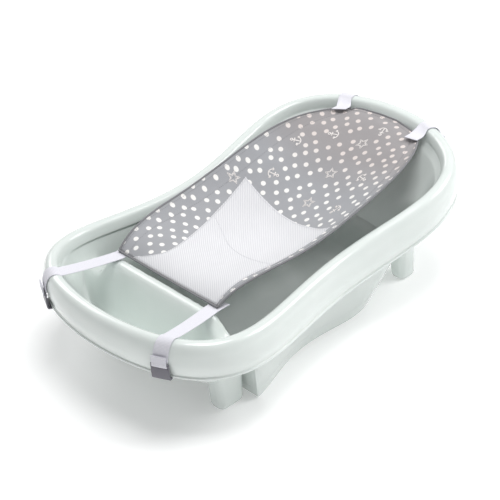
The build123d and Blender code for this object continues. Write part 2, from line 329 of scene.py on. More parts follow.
def stitch_tree() -> bpy.types.NodeTree:
    """Short rounded stitches set one after another along a line."""
    tree = node_group("sewn_stitches", {"Spacing": 0.004, "Length": 0.0028, "Thread": 0.0006})
    start = add_node(tree, "NodeGroupInput")
    curve = add_node(tree, "GeometryNodeMeshToCurve", {"Mesh": start.outputs["Geometry"]})
    spaced = add_node(tree, "GeometryNodeResampleCurve",
                      {"Curve": curve.outputs["Curve"], "Length": start.outputs["Spacing"]},
                      mode="LENGTH")
    tangent = add_node(tree, "GeometryNodeInputTangent")
    turn = add_node(tree, "FunctionNodeAlignRotationToVector",
                    {"Vector": tangent.outputs["Tangent"]}, axis="Z")
    thread = add_node(tree, "GeometryNodeMeshUVSphere", None,
                      {"Segments": 6, "Rings": 4, "Radius": 0.5})
    scale = add_node(tree, "ShaderNodeCombineXYZ",
                     {"X": start.outputs["Thread"], "Y": start.outputs["Thread"],
                      "Z": start.outputs["Length"]})
    sewn = add_node(tree, "GeometryNodeInstanceOnPoints",
                    {"Points": spaced.outputs["Curve"], "Instance": thread.outputs["Mesh"],
                     "Rotation": turn.outputs["Rotation"], "Scale": scale.outputs["Vector"]})
    return close_tree(tree, start, sewn.outputs["Instances"])


# ---------------------------------------------------------------- finishes


def new_material(name: str) -> tuple[bpy.types.Material, bpy.types.NodeTree, bpy.types.Node]:
    """Starts a material.

    Args:
        name: the material's name.

    Returns:
        The material, its node tree and its main shader.
    """
    material = bpy.data.materials.new(name)
    material.use_nodes = True
    tree = material.node_tree
    tree.nodes.clear()
    shader = add_node(tree, "ShaderNodeBsdfPrincipled")
    add_node(tree, "ShaderNodeOutputMaterial", {"Surface": shader.outputs["BSDF"]})
    return material, tree, shader


def mix_colours(tree: bpy.types.NodeTree, share: bpy.types.NodeSocket, low: str,
                high: str) -> bpy.types.NodeSocket:
    """Mixes two hex colours by share, low where it is 0 and high where it is 1."""
    node = add_node(tree, "ShaderNodeMix", {"Factor": share}, {6: linear(low), 7: linear(high)},
                    data_type="RGBA")
    return node.outputs[2]


def raise_by(tree: bpy.types.NodeTree, shader: bpy.types.Node, height: bpy.types.NodeSocket,
             strength: float, distance_mm: float, over: dict | None = None) -> bpy.types.NodeSocket:
    """Raises a shader's surface by a pattern.

    Args:
        tree: the material's node tree.
        shader: its main shader.
        height: the pattern.
        strength: how strongly the pattern shows.
        distance_mm: its depth.
        over: the link to a coarser pattern that it lies on.

    Returns:
        The raised normal.
    """
    bump = add_node(tree, "ShaderNodeBump", {"Height": height, **(over or {})},
                    {"Strength": strength, "Distance": distance_mm * MM})
    tree.links.new(bump.outputs["Normal"], shader.inputs["Normal"])
    return bump.outputs["Normal"]


def per_metre(period_mm: float) -> float:
    """Scale of a noise or cell pattern that repeats each period, on coordinates in metres."""
    return 1000.0 / period_mm


def wave_scale(period_mm: float) -> float:
    """Scale of a wave pattern, whose bands repeat each pi / 10 of its own units."""
    return math.pi / 10 * 1000.0 / period_mm


@dataclass(frozen=True)
class MouldedPolypropylene:
    """Injection-moulded polypropylene, polished mould: glossy, faintly milky, softly rippled."""

    name: str = "moulded_polypropylene"
    colour: str = "#E8EEEB"
    deep_colour: str = "#DFE7E3"
    roughness: tuple[float, float] = (0.19, 0.31)
    ripple_mm: float = 45.0     # slow sink marks in a large moulding
    grain_mm: float = 1.6       # fine mould texture, drawn a little coarse so that it shows

    def make(self) -> bpy.types.Material:
        """Builds the material."""
        material, tree, shader = new_material(self.name)
        place = add_node(tree, "ShaderNodeTexCoord").outputs["Object"]
        ripple = add_node(tree, "ShaderNodeTexNoise", {"Vector": place},
                          {"Scale": per_metre(self.ripple_mm), "Detail": 2.0, "Roughness": 0.4})
        grain = add_node(tree, "ShaderNodeTexNoise", {"Vector": place},
                         {"Scale": per_metre(self.grain_mm), "Detail": 2.0})
        tint = mix_colours(tree, ripple.outputs["Fac"], self.deep_colour, self.colour)
        tree.links.new(tint, shader.inputs["Base Color"])
        polish = add_node(tree, "ShaderNodeMapRange", {"Value": grain.outputs["Fac"]},
                          {"To Min": self.roughness[0], "To Max": self.roughness[1]})
        tree.links.new(polish.outputs["Result"], shader.inputs["Roughness"])
        slow = raise_by(tree, shader, ripple.outputs["Fac"], 0.12, 4.0)
        raise_by(tree, shader, grain.outputs["Fac"], 0.05, 0.4, {"Normal": slow})
        for name, value in (("IOR", 1.49), ("Subsurface Weight", 0.12),
                            ("Subsurface Radius", (1.0, 1.0, 1.0)), ("Subsurface Scale", 0.03),
                            ("Coat Weight", 0.5), ("Coat Roughness", 0.06)):
            shader.inputs[name].default_value = value
        return material


@dataclass(frozen=True)
class PrintedTricot:
    """Warp-knitted polyester tricot, screen printed with dots: matte, fine knit, slight sheen."""

    name: str = "printed_tricot"
    colour: str = "#A3A4A8"
    # painted shade: the cloth is darker and browner at the head end
    shaded_head_colour: str = "#9D999A"
    ink: str = "#F3F1EE"
    # painted shade: the dots are darker and browner at the head end
    shaded_head_ink: str = "#DDD3CF"
    dot_pitch_mm: float = 20.0
    dot_mm: float = 8.6
    dot_turn_degrees: float = 38.0
    cloud_mm: float = 70.0      # slow change of tone in the dyed cloth
    knit_mm: float = 1.5        # real courses are about 0.6 mm, drawn coarser so that they show
    bare: tuple[tuple[float, float], ...] = ()
    bare_mm: float = 15.0

    def make(self) -> bpy.types.Material:
        """Builds the material. Its pattern follows the cloth's own UV map, in metres."""
        material, tree, shader = new_material(self.name)
        uv = add_node(tree, "ShaderNodeUVMap", uv_map="cloth").outputs["UV"]
        turn = math.radians(self.dot_turn_degrees)
        turned = add_node(tree, "ShaderNodeMapping", {"Vector": uv}, {"Rotation": (0, 0, turn)})
        cells = add_node(tree, "ShaderNodeTexVoronoi", {"Vector": turned.outputs["Vector"]},
                         {"Scale": per_metre(self.dot_pitch_mm), "Randomness": 0.32},
                         voronoi_dimensions="2D")
        edge = self.dot_mm / 2 / self.dot_pitch_mm
        dots = add_node(tree, "ShaderNodeMapRange", {"Value": cells.outputs["Distance"]},
                        {"From Min": edge - 0.02, "From Max": edge + 0.02,
                         "To Min": 1.0, "To Max": 0.0})
        amount = dots.outputs["Result"]
        back = add_node(tree, "ShaderNodeMapping", {"Vector": cells.outputs["Position"]},
                        {"Rotation": (0, 0, -turn)})
        for x, y in self.bare:
            away = add_node(tree, "ShaderNodeVectorMath", {0: back.outputs["Vector"]},
                            {1: (x * MM, y * MM, 0)}, operation="DISTANCE")
            clear = add_node(tree, "ShaderNodeMath", {0: away.outputs["Value"]},
                             {1: self.bare_mm * MM}, operation="GREATER_THAN")
            amount = add_node(tree, "ShaderNodeMath", {0: amount, 1: clear.outputs["Value"]},
                              operation="MULTIPLY").outputs["Value"]
        parts = add_node(tree, "ShaderNodeSeparateXYZ", {"Vector": uv})
        # Painted shade: from 140 to 220 mm along the cloth, the cloth and its dots turn towards the
        # darker, browner head colours.
        head = add_node(tree, "ShaderNodeMapRange", {"Value": parts.outputs["X"]},
                        {"From Min": 0.14, "From Max": 0.22})
        cloud = add_node(tree, "ShaderNodeTexNoise", {"Vector": uv},
                         {"Scale": per_metre(self.cloud_mm), "Detail": 3.0})
        uneven = add_node(tree, "ShaderNodeMapRange", {"Value": cloud.outputs["Fac"]},
                          {"To Min": 0.90, "To Max": 1.08})
        base = mix_colours(tree, head.outputs["Result"], self.colour, self.shaded_head_colour)
        shade = add_node(tree, "ShaderNodeVectorMath", {0: base, 3: uneven.outputs["Result"]},
                         operation="SCALE")
        ink = mix_colours(tree, head.outputs["Result"], self.ink, self.shaded_head_ink)
        colour = add_node(tree, "ShaderNodeMix",
                          {"Factor": amount, 6: shade.outputs["Vector"], 7: ink}, data_type="RGBA")
        tree.links.new(colour.outputs[2], shader.inputs["Base Color"])
        knit = [add_node(tree, "ShaderNodeTexWave", {"Vector": uv},
                         {"Scale": wave_scale(self.knit_mm), "Distortion": 0.6, "Detail": 1.0},
                         bands_direction=axis) for axis in ("X", "Y")]
        weave = add_node(tree, "ShaderNodeMath",
                         {0: knit[0].outputs["Fac"], 1: knit[1].outputs["Fac"]},
                         operation="MULTIPLY")
        raise_by(tree, shader, weave.outputs["Value"], 0.35, 0.6)
        shader.inputs["Roughness"].default_value = 0.85
        shader.inputs["Sheen Weight"].default_value = 0.15
        shader.inputs["Sheen Roughness"].default_value = 0.5
        return material


@dataclass(frozen=True)
class RibbedNet:
    """White warp-knitted net with raised ribs: matte, airy, finely lined."""

    name: str = "ribbed_net"
    colour: str = "#E6E6E8"
    # painted shade in the grooves between the ribs
    groove_shade_colour: str = "#D0D0D4"
    rib_mm: float = 3.0         # real ribs are about 1.5 mm, drawn coarser so that they show
    turn_degrees: float = 45.0

    def make(self) -> bpy.types.Material:
        """Builds the material. The ribs run slantwise over the cloth's UV map."""
        material, tree, shader = new_material(self.name)
        uv = add_node(tree, "ShaderNodeUVMap", uv_map="cloth").outputs["UV"]
        turned = add_node(tree, "ShaderNodeMapping", {"Vector": uv},
                          {"Rotation": (0, 0, math.radians(self.turn_degrees))})
        ribs = add_node(tree, "ShaderNodeTexWave", {"Vector": turned.outputs["Vector"]},
                        {"Scale": wave_scale(self.rib_mm), "Distortion": 0.3, "Detail": 1.0},
                        bands_direction="X")
        holes = add_node(tree, "ShaderNodeTexWave", {"Vector": turned.outputs["Vector"]},
                         {"Scale": wave_scale(self.rib_mm * 0.8)}, bands_direction="Y")
        net = add_node(tree, "ShaderNodeMath", {0: holes.outputs["Fac"]}, {1: 0.25},
                       operation="MULTIPLY")
        high = add_node(tree, "ShaderNodeMath", {0: ribs.outputs["Fac"], 1: net.outputs["Value"]},
                        operation="ADD")
        # Painted shade: the net is darker in the grooves between its ribs.
        colour = mix_colours(tree, ribs.outputs["Fac"], self.groove_shade_colour, self.colour)
        tree.links.new(colour, shader.inputs["Base Color"])
        raise_by(tree, shader, high.outputs["Value"], 0.5, 0.6)
        shader.inputs["Roughness"].default_value = 0.9
        shader.inputs["Sheen Weight"].default_value = 0.2
        return material


@dataclass(frozen=True)
class Webbing:
    """Woven elastic webbing or cloth tape: matte, with cross ribs and painted shade between them.
    """

    name: str = "elastic_webbing"
    colour: str = "#F6F6F9"
    # painted shade between the picks and ends
    groove_shade_colour: str = "#DCDBE4"
    rib_mm: float = 2.0         # real picks are about 1 mm, drawn coarser so that they show

    def make(self) -> bpy.types.Material:
        """Builds the material on the tape's UV map: across is U, along is V."""
        material, tree, shader = new_material(self.name)
        uv = add_node(tree, "ShaderNodeUVMap", uv_map="cloth").outputs["UV"]
        picks = add_node(tree, "ShaderNodeTexWave", {"Vector": uv},
                         {"Scale": wave_scale(self.rib_mm), "Distortion": 0.4, "Detail": 1.0},
                         bands_direction="Y")
        ends = add_node(tree, "ShaderNodeTexWave", {"Vector": uv},
                        {"Scale": wave_scale(self.rib_mm), "Distortion": 0.4}, bands_direction="X")
        weave = add_node(tree, "ShaderNodeMath", {0: picks.outputs["Fac"], 1: ends.outputs["Fac"]},
                         operation="MULTIPLY")
        # Painted shade: the tape is darker in the hollows of its weave.
        colour = mix_colours(tree, weave.outputs["Value"], self.groove_shade_colour, self.colour)
        tree.links.new(colour, shader.inputs["Base Color"])
        raise_by(tree, shader, weave.outputs["Value"], 0.5, 0.5)
        shader.inputs["Roughness"].default_value = 0.8
        shader.inputs["Sheen Weight"].default_value = 0.1
        return material


@dataclass(frozen=True)
class PlainCover:
    """A plain surface with fine random grain: folded cloth tape, thread, ink, rubber or plastic."""

    name: str
    colour: str
    roughness: float
    grain_mm: float
    bump_mm: float
    sheen: float = 0.0

    def make(self) -> bpy.types.Material:
        """Builds the material on object coordinates."""
        material, tree, shader = new_material(self.name)
        place = add_node(tree, "ShaderNodeTexCoord").outputs["Object"]
        grain = add_node(tree, "ShaderNodeTexNoise", {"Vector": place},
                         {"Scale": per_metre(self.grain_mm), "Detail": 3.0})
        tone = add_node(tree, "ShaderNodeMapRange", {"Value": grain.outputs["Fac"]},
                        {"To Min": 0.88, "To Max": 1.10})
        colour = add_node(tree, "ShaderNodeVectorMath", {3: tone.outputs["Result"]},
                          {0: linear(self.colour)[:3]}, operation="SCALE")
        tree.links.new(colour.outputs["Vector"], shader.inputs["Base Color"])
        raise_by(tree, shader, grain.outputs["Fac"], 0.5, self.bump_mm)
        shader.inputs["Roughness"].default_value = self.roughness
        shader.inputs["Sheen Weight"].default_value = self.sheen
        return material


# ---------------------------------------------------------------- tub


@dataclass
class TubShell:
    """The moulded tub: basin with a raised foot ledge, rolled rim, base wall and four pegs."""

    lip_half_length: float = 328.0
    lip_half_width: float = 216.0
    foot_bulge: float = 5.0
    waist: float = 49.0
    rim_height: float = 180.0
    rim_tilt: float = 30.0
    rim_saddle: float = 19.0
    floor_top: float = 10.0
    floor_half_length: float = 215.0
    floor_middle_x: float = -45.0
    floor_share: float = 0.83
    floor_taper: float = 0.10
    wall: float = 3.0
    well_floor: float = 58.0
    ledge_front_x: float = -198.0
    ledge_back_x: float = -220.0
    ledge_top: float = 150.0
    ledge_back_slope: float = 4.2
    ledge_front_slope: float = 6.8
    ledge_shoulder: float = 115.0
    ledge_fall: tuple[float, float] = (112.0, 152.0)
    ledge_blend: float = 34.0
    floor_blend: float = 14.0
    wall_blend: float = 26.0
    skirt: float = 52.0
    skirt_sway: float = 3.6
    base_gap: float = 2.5
    base_thick: float = 2.3
    profile: tuple[tuple[float, float], ...] = (
        (-3.0, -14.0), (-0.8, -3.0), (3.5, 6.5), (12.0, 9.5), (21.0, 5.0), (26.6, -8.0),
        (27.6, -25.0), (26.0, -38.0), (24.0, -47.0), (25.6, -49.5), (25.9, -52.0), (24.4, -53.6))
    around: int = 320
    front_leg: tuple[float, float, float, float] = (-215.0, 144.0, 50.0, 32.0)
    rear_leg: tuple[float, float, float, float] = (222.0, 119.0, 36.0, 32.0)
    toe: float = 7.0
    drain: tuple[float, float] = (-142.0, 13.2)

    def lip(self, u: float) -> Vector:
        """The rim's inner edge at angle u, 0 at the foot end and pi at the head end."""
        return Vector((-self.lip_half_length * math.cos(u),
                       self.lip_half_width * math.sin(u) + self.foot_bulge * math.sin(2 * u)
                       + self.waist * math.sin(3 * u),
                       self.rim_height - self.rim_tilt * math.cos(u)
                       + self.rim_saddle * math.cos(2 * u)))

    def outward(self, u: float) -> Vector:
        """Direction away from the basin, in plan: on the left, as the lip runs clockwise."""
        step = self.lip(u + 0.001) - self.lip(u - 0.001)
        return Vector((-step.y, step.x, 0)).normalized()

    def floor_edge(self, u: float) -> Vector:
        """Where the wall meets the floor at angle u."""
        lip = self.lip(u)
        return Vector((self.floor_middle_x - self.floor_half_length * math.cos(u),
                       lip.y * (self.floor_share + self.floor_taper * math.cos(u)), self.floor_top))

    def rim_place(self, u: float, out: float, up: float) -> Vector:
        """A place on the rim's section: out from the lip and up from it."""
        if up < 0:
            up *= (self.skirt - self.skirt_sway * math.cos(2 * u)) / self.skirt
        return self.lip(u) + self.outward(u) * out + Vector((0, 0, up))

    def ground(self, x: float, y: float) -> float:
        """Height of the floor, the raised foot well and the ledge between them."""
        drop = (self.ledge_top - self.ledge_shoulder) * smoothstep(*self.ledge_fall, abs(y))
        crest = self.ledge_top - drop
        front = self.ledge_top - (x - self.ledge_front_x) * self.ledge_front_slope
        back = self.ledge_top + (x - self.ledge_back_x) * self.ledge_back_slope
        ledge = smooth_bottom(smooth_bottom(crest, front, self.ledge_blend), back, self.ledge_blend)
        if x > (self.ledge_front_x + self.ledge_back_x) / 2:
            return smooth_top(self.floor_top, ledge, self.floor_blend)
        return smooth_top(self.well_floor, ledge, self.ledge_blend)

    def basin_rows(self) -> list[list[Vector]]:
        """Rows of points from the middle of the floor up to just under the lip."""
        middle = Vector((self.floor_middle_x, 0, 0))
        angles = [2 * math.pi * k / self.around for k in range(self.around)]
        rows = []
        for step in range(1, 53):
            share, row = step / 52, []
            for u in angles:
                foot = self.floor_edge(u)
                p = middle.lerp(foot, share)
                run = self.lip(u) - foot
                slope = run.z / math.hypot(run.x, run.y)
                line = self.floor_top - slope * math.hypot(p.x - foot.x, p.y - foot.y)
                p.z = smooth_top(line, self.ground(p.x, p.y), self.wall_blend)
                row.append(p)
            rows.append(row)
        for step in range(1, 39):
            share, row = 1 - step / 38 * 0.92, []
            for u in angles:
                lip, foot = self.lip(u), self.floor_edge(u)
                p = lip.lerp(foot, share)
                p.z = smooth_top(p.z, self.ground(p.x, p.y), self.wall_blend)
                row.append(p)
            rows.append(row)
        return rows

    def rim_rows(self) -> list[list[Vector]]:
        """Rows of points over the rolled rim and down its skirt."""
        angles = [2 * math.pi * k / self.around for k in range(self.around)]
        return [[self.rim_place(u, n, z) for u in angles] for n, z in through(self.profile, 50)[1:]]

    def basin(self) -> bpy.types.Object:
        """The basin and rim as one wall, with the drain hole cut through its floor."""
        rows = self.basin_rows() + self.rim_rows()
        points = [Vector((self.floor_middle_x, 0, self.floor_top))]
        for row in rows:
            points += row
        faces = [tuple(1 + i for i in face) for face in grid_faces(len(rows), self.around, True)]
        faces += [(0, 1 + (k + 1) % self.around, 1 + k) for k in range(self.around)]
        piece = mesh_from("basin", points, faces)
        if piece.data.polygons[-1].normal.z < 0:
            piece.data.flip_normals()
        self.inner = BVHTree.FromPolygons([v.co.copy() for v in piece.data.vertices],
                                          [tuple(p.vertices) for p in piece.data.polygons])
        thicken(piece, self.wall)
        x, radius = self.drain
        cutter = self._drum(x, radius)
        cut = piece.modifiers.new("drain", "BOOLEAN")
        cut.object = cutter
        cut.solver = "EXACT"
        baked(piece)
        bpy.data.objects.remove(cutter)
        return piece

    def _drum(self, x: float, radius: float) -> bpy.types.Object:
        """A drum that cuts the drain hole."""
        ring = [(x + radius * math.cos(k * math.pi / 24), radius * math.sin(k * math.pi / 24))
                for k in range(48)]
        points = [(a, b, -5) for a, b in ring] + [(a, b, 25) for a, b in ring]
        faces = [(k, (k + 1) % 48, 48 + (k + 1) % 48, 48 + k) for k in range(48)]
        faces += [tuple(range(47, -1, -1)), tuple(range(48, 96))]
        return mesh_from("drain_drum", points, faces)

    def base_wall(self) -> bpy.types.Object:
        """The lower wall of the deep basin, which runs down to the ring that the tub stands on.

        Under the foot well there is no lower wall: the ring turns across behind the ledge.
        """
        profile = ((78.0, 0.0), (58.0, 0.0), (38.0, 0.0), (18.0, 0.0), (8.0, 0.0), (4.0, 0.3),
                   (1.6, 1.4), (0.4, 3.2), (0.0, 5.5), (0.0, 12.0), (0.0, 16.0))
        points = []
        for height, inset in profile:
            for k in range(self.around):
                u = 2 * math.pi * k / self.around
                lip, foot = self.lip(u), self.floor_edge(u)
                share = (lip.z - height) / (lip.z - foot.z)
                p = lip.lerp(foot, share) + self.outward(u) * (self.base_gap - inset)
                ledge = self.ledge_front_x + (self.ledge_top - height) / self.ledge_front_slope
                points.append((smooth_top(p.x, ledge - self.base_gap + inset, 18), p.y, height))
        faces = grid_faces(len(profile), self.around, True)
        piece = mesh_from("base_wall", points, faces)
        first = piece.data.polygons[0]
        if first.normal.dot(Vector((first.center.x, first.center.y, 0))) < 0:
            piece.data.flip_normals()
        thicken(piece, self.base_thick)
        return piece

    def peg(self, x: float, y: float, length: float, width: float) -> bpy.types.Object:
        """A tapered peg with a rounded toe that grows out of the basin's underside."""
        corner, count = 11.0, 48
        levels = [(0.0, self.toe), (0.6, self.toe * 0.6), (2.2, self.toe * 0.26), (self.toe, 0.0)]
        points = []
        for height, inset in levels:
            points += [(px, py, height)
                       for px, py in self._rounded(x, y, length, width, corner, inset, count)]
        for share in [k / 10 for k in range(1, 11)]:
            for px, py in self._rounded(x, y, length, width, corner, -3.2 * share, count):
                top = self._underside(px, py)
                points.append((px, py, self.toe + (top - self.toe) * share))
        rows = len(points) // count
        faces = grid_faces(rows, count, True)
        faces += [tuple(range(count - 1, -1, -1)),
                  tuple((rows - 1) * count + k for k in range(count))]
        piece = mesh_from("peg", points, faces)
        work = bmesh.new()
        work.from_mesh(piece.data)
        bmesh.ops.recalc_face_normals(work, faces=work.faces)
        work.to_mesh(piece.data)
        work.free()
        return piece

    def _underside(self, x: float, y: float) -> float:
        """Height inside the shell's wall above a place, clear of the basin's inner face."""
        heights = []
        for dx, dy in ((0, 0), (2, 0), (-2, 0), (0, 2), (0, -2)):
            found = self.inner.ray_cast(Vector((x + dx, y + dy, -20)) * MM, Vector((0, 0, 1)))[0]
            if found:
                heights.append(found.z / MM)
        return min(heights, default=60.0) - 1.4

    @staticmethod
    def _rounded(x: float, y: float, length: float, width: float, corner: float,
                 inset: float, count: int) -> list[tuple[float, float]]:
        """Points round a rectangle with rounded corners, drawn in by inset."""
        half_l, half_w = length / 2 - inset, width / 2 - inset
        radius = max(corner - inset, 3.0)
        points = []
        for k in range(count):
            angle = 2 * math.pi * (k + 0.5) / count
            cx = math.copysign(half_l - radius, math.cos(angle))
            cy = math.copysign(half_w - radius, math.sin(angle))
            points.append((x + cx + radius * math.cos(angle), y + cy + radius * math.sin(angle)))
        return points

    def build(self, finish: MouldedPolypropylene) -> bpy.types.Object:
        """Builds and dresses the whole tub."""
        parts = [self.basin(), self.base_wall()]
        for x, y, length, width in (self.front_leg, self.rear_leg):
            parts += [self.peg(x, y * side.value, length, width) for side in Side]
        tub = joined("tub_moulding", parts)
        dress(tub, finish.make())
        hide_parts("tub_shell")
        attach(tub, "tub")
        return tub


@dataclass
class DrainPlug:
    """The soft plug in the floor's drain."""

    node: str = "drain_plug"

    def build(self) -> bpy.types.Object:
        """Dresses the plug, whose moulded form is already right."""
        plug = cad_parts[self.node]
        finish = PlainCover("soft_tpe_rubber", "#C9D3CF", 0.55, 0.8, 0.05)
        return dress(plug, finish.make())


# ---------------------------------------------------------------- sling


@dataclass
class Sling:
    """The cloth sling: a printed sheet with a seat of white net, bound by piping."""

    foot_x: float = -194.0
    head_x: float = 301.0
    head_bow: float = 24.0
    corner_height: float = 157.0
    wing_rise: float = 27.0
    wing_reach: float = 32.0
    head_rise: float = 40.0
    rise_from: float = -60.0
    rise_to: float = 250.0
    half_width: float = 143.0
    widest_x: float = 50.0
    foot_narrowing: float = 25.0
    head_narrowing: float = 57.0
    end_sag: float = 1.5
    seat_sag: float = 58.0
    seam_share: float = 0.86
    cloth: float = 1.2
    net_lift: float = 0.9
    net_thick: float = 0.8
    thread_lift: float = 0.35
    net_thread_lift: float = 1.35
    hem_share: float = 0.985
    print_scale: float = 1.3
    piping: float = 1.8
    far_line: tuple[tuple[float, float], ...] = (
        (78.0, 108.0), (30.0, 98.0), (-20.0, 86.0), (-75.0, 68.0), (-128.0, 50.0),
        (-158.0, 47.0), (-178.0, 60.0), (-193.5, 86.0))
    near_line: tuple[tuple[float, float], ...] = (
        (60.0, -108.0), (10.0, -108.0), (-40.0, -111.0), (-83.0, -113.0), (-146.0, -114.0),
        (-193.5, -114.0))
    tuck_line: tuple[tuple[float, float], ...] = (
        (-19.0, 84.0), (-32.0, 52.0), (-56.0, 2.0), (-65.0, -51.0), (-72.0, -106.0))
    anchors: tuple[tuple[float, float, float], ...] = (
        (240.0, 53.0, 20.0), (183.0, -66.0, 160.0), (110.0, -74.0, 60.0), (118.0, 82.0, 200.0),
        (285.0, -20.0, 100.0), (190.0, 96.0, 30.0))
    stars: tuple[tuple[float, float, float], ...] = (
        (176.0, 0.0, 10.0), (249.0, -6.0, 40.0), (112.0, -8.0, 70.0), (60.0, 119.0, 20.0))

    def edge(self, x: float) -> float:
        """Height of the side edges."""
        wing = self.wing_rise * (1 - math.exp(-max(x - self.foot_x, 0) / self.wing_reach))
        back = self.head_rise * smoothstep(self.rise_from, self.rise_to, x)
        return self.corner_height + wing + back

    def half(self, x: float) -> float:
        """Half width of the sling at x."""
        if x < self.widest_x:
            share = (self.widest_x - x) / (self.widest_x - self.foot_x)
            return self.half_width - self.foot_narrowing * share ** 2
        share = min((x - self.widest_x) / (self.head_x - self.widest_x), 1.0)
        return self.half_width - self.head_narrowing * share ** 3.5

    def height(self, x: float, y: float) -> float:
        """Height of the cloth: a seat hanging between its edges, with soft wrinkles."""
        along = min(max((x - self.foot_x) / (self.head_x - self.foot_x), 0), 1)
        sag = self.end_sag + self.seat_sag * max(math.sin(math.pi * along), 0) ** 1.2
        across = min(abs(y) / self.half(x), 1.0)
        soft = noise.noise(Vector((x / 46, y / 30, 3.7))) * 1.5
        soft += noise.noise(Vector((x / 90, y / 60, 9.1))) * 2.2
        crease = -2.4 * math.exp(-((across - self.seam_share) * 16) ** 2)
        wrinkle = (soft * (1 - across ** 6) + crease) * min(1, along * 6)
        return self.edge(x) - sag * (1 - across ** 2) + wrinkle

    def on_cloth(self, x: float, y: float, lift: float = 0.0) -> Vector:
        """A place on the cloth, lifted off it by a small height."""
        return Vector((x, y, self.height(x, y) + lift))

    def line_x(self, share: float, b: float) -> float:
        """X of a cross line at a share of the length, which bows out at the head."""
        return self.foot_x + (self.head_x + self.head_bow * (1 - b * b) - self.foot_x) * share

    def printed_sheet(self, finish: PrintedTricot) -> bpy.types.Object:
        """The grey printed cloth, open where the net seat is let in."""
        rows, columns = 121, 65
        places = []
        for r in range(rows):
            for c in range(columns):
                b = -1 + 2 * c / (columns - 1)
                x = self.line_x(r / (rows - 1), b)
                places.append((x, b * self.half(x)))
        points = [self.on_cloth(x, y) for x, y in places]
        faces = []
        for face in grid_faces(rows, columns):
            x = sum(places[i][0] for i in face) / 4
            y = sum(places[i][1] for i in face) / 4
            if not self._inside_net(x, y, 7.0):
                faces.append(face)
        used = sorted({i for face in faces for i in face})
        index = {old: new for new, old in enumerate(used)}
        piece = mesh_from("sling_cloth", [points[i] for i in used],
                          [tuple(index[i] for i in face) for face in faces])
        face_up(piece)
        sheet_uv(piece, [places[i] for i in used])
        thicken(piece, self.cloth)
        dress(piece, finish.make())
        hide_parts("sling_back_panel", "sling_wing_left", "sling_wing_right")
        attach(piece, "tub")
        return piece

    @cached_property
    def net_edges(self) -> tuple[list[Vector], list[Vector]]:
        """The two long edges of the net seat in plan, from its head end to its foot end."""
        return through(self.far_line, 80), through(self.near_line, 80)

    def _inside_net(self, x: float, y: float, margin: float) -> bool:
        """Whether a place in plan lies inside the net seat by more than a margin."""
        far, near = self.net_edges
        if x < self.foot_x + margin:
            return False
        far_y = min(far, key=lambda p: abs(p.x - x)).y
        near_y = min(near, key=lambda p: abs(p.x - x)).y
        head = 62 + 17 * (y + 108) / 216
        return x < head - margin and near_y + margin < y < far_y - margin

    def net_seat(self, finish: RibbedNet) -> bpy.types.Object:
        """The white net seat, sewn on over the opening in the printed cloth."""
        far, near = self.net_edges
        rows, columns = 80, 50
        places = []
        for r in range(rows):
            for c in range(columns):
                share = c / (columns - 1)
                p = far[r].lerp(near[r], share)
                places.append((p.x, p.y))
        points = [self.on_cloth(x, y, self.net_lift) for x, y in places]
        piece = mesh_from("net_seat", points, grid_faces(rows, columns))
        face_up(piece)
        sheet_uv(piece, places)
        thicken(piece, self.net_thick)
        dress(piece, finish.make())
        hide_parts("sling_seat_panel")
        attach(piece, "tub")
        return piece

    def border(self, side: Side) -> list[Vector]:
        """Line of a side edge, from foot to head."""
        line = []
        for k in range(61):
            x = self.foot_x + (self.head_x - self.foot_x) * k / 60
            y = side.value * (self.half(x) + self.piping * 0.6)
            line.append(Vector((x, y, self.edge(x))))
        return line

    def cross_border(self, end: End) -> list[Vector]:
        """Line of the foot or head edge, from left to right."""
        line = []
        share = 0.0 if end is End.FOOT else 1.0
        for k in range(41):
            b = 1 - k / 20
            x = self.line_x(share, b)
            y = b * (self.half(x) + self.piping * 0.6)
            z = self.height(x, b * self.half(x))
            line.append(Vector((x + end.value * self.piping * 0.6, y, z)))
        return line

    def pipings(self, tree: bpy.types.NodeTree, finish: PlainCover) -> list[bpy.types.Object]:
        """The four runs of piping round the sling."""
        material = finish.make()
        lines = {"side_piping_left": self.border(Side.LEFT),
                 "side_piping_right": self.border(Side.RIGHT),
                 "foot_piping": self.cross_border(End.FOOT),
                 "head_piping": self.cross_border(End.HEAD)}
        made = []
        for node, line in lines.items():
            piece = run_tree(centre_line(f"{node}_tape", line), tree,
                             {"Radius": self.piping * MM, "Material": material})
            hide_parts(node)
            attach(piece, "tub")
            made.append(piece)
        return made

    def seams(self, tree: bpy.types.NodeTree, grey: PlainCover,
              white: PlainCover) -> list[bpy.types.Object]:
        """Rows of stitches: along the wings, inside the piping and round the net seat."""
        far, near = self.net_edges
        shares = [k / 60 for k in range(61)]
        grey_lines, white_lines = {}, {}
        for side in Side:
            for share in (self.seam_share - 0.025, 0.965):
                line = []
                for s in shares:
                    x = self.foot_x + 6 + (self.head_x - self.foot_x - 10) * s
                    y = side.value * share * self.half(x)
                    line.append(self.on_cloth(x, y, self.thread_lift))
                grey_lines[f"{side.name.lower()}_{int(share * 1000)}"] = line
        hem = [(self.line_x(self.hem_share, b), b) for b in (0.9 - 1.8 * s for s in shares)]
        grey_lines["head_hem"] = [self.on_cloth(x, b * self.half(x), self.thread_lift)
                                  for x, b in hem]
        in_x, in_y = Vector((2.5, 0)), Vector((0, 2.5))
        flat_lines = {"far": [p - in_y for p in far],
                      "near": [p + in_y for p in near],
                      "head": [far[0].lerp(near[0], s) - in_x for s in shares],
                      "foot": [far[-1].lerp(near[-1], s) + in_x for s in shares],
                      "tuck": through(self.tuck_line, 61)}
        for name, flat in flat_lines.items():
            white_lines[name] = [self.on_cloth(p.x, p.y, self.net_thread_lift) for p in flat]
        made = []
        for colour, lines in ((grey, grey_lines), (white, white_lines)):
            material = colour.make()
            rows = [run_tree(centre_line(f"row_{name}", line), tree,
                             {"Spacing": 0.0042, "Length": 0.003, "Thread": 0.0007,
                              "Material": material})
                    for name, line in lines.items()]
            piece = joined(f"stitches_{colour.name}", rows)
            dress(piece, material)
            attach(piece, "tub")
            made.append(piece)
        return made

